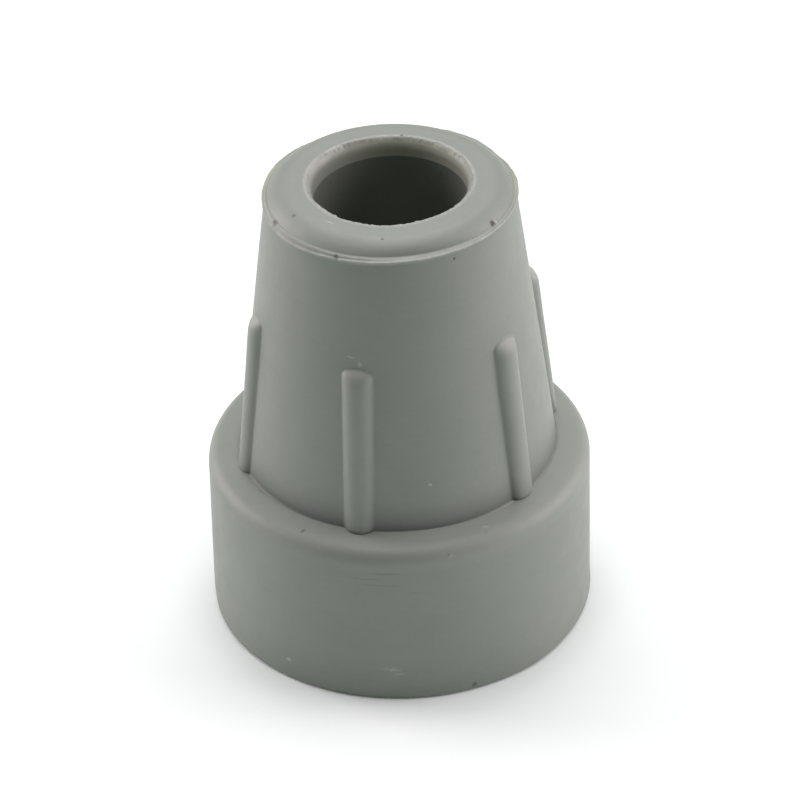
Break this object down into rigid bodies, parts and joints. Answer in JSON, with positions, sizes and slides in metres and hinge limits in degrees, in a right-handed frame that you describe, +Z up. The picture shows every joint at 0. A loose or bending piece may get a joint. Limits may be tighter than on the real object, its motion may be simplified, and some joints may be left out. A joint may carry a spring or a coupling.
{
  "type": "rubber cane tip",
  "caption": "Moulded rubber tip for a walking cane: a wide round foot under a tapered, ribbed neck with a blind bore for the shaft.",
  "frame": {"origin": "centre of the tread, on the surface that the tip stands on", "axes": "+Z up the bore's axis and out of its mouth; one rib points along -Y"},
  "size_m": [0.0492, 0.0492, 0.062],
  "materials": {
    "rubber": "satin mid-grey moulded rubber"
  },
  "bodies": {
    "root": {"cane_tip": "rubber"}
  },
  "joints": []
}
